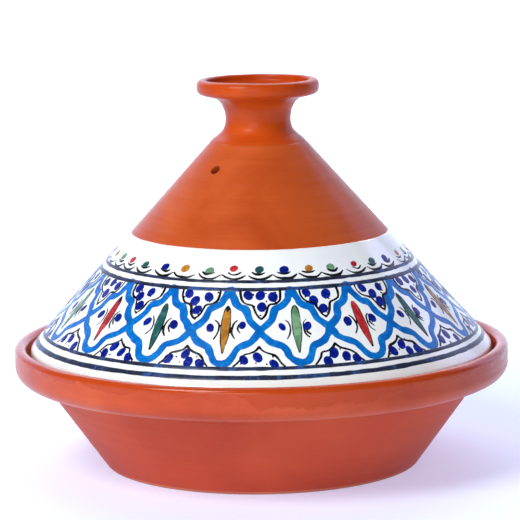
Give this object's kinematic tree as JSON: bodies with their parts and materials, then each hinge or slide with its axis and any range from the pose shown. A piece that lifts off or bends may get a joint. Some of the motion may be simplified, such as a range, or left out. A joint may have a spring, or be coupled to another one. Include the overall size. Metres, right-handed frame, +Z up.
{
  "type": "tagine pot",
  "caption": "Clay cooking dish with a heavy collar and a lift-off conical lid that ends in a cup-shaped knob and has a steam vent.",
  "frame": {"origin": "middle of the dish's flat underside, on the surface it stands on", "axes": "+Z up along the pot's axis, -Y towards the viewer, +X to the right"},
  "size_m": [0.31, 0.31, 0.2413],
  "materials": {
    "dish_clay": "satin clear glaze over red clay, duller towards the foot",
    "lining_glaze": "gloss clear glaze over red clay",
    "lid_clay": "gloss clear glaze over red clay, bare inside",
    "knob_clay": "gloss clear glaze over red clay",
    "white_glaze": "gloss white glaze with hand-painted ornament"
  },
  "bodies": {
    "dish": {"dish_body": "dish_clay", "dish_lining_glaze": "lining_glaze"},
    "lid": {"lid_cone": "lid_clay", "lid_knob": "knob_clay", "lid_white_glaze": "white_glaze"}
  },
  "joints": [
    {"name": "lid_lift", "type": "slide", "parent": "dish", "child": "lid", "axis": [0, 0, 1], "range_m": [0, 0.15]}
  ]
}
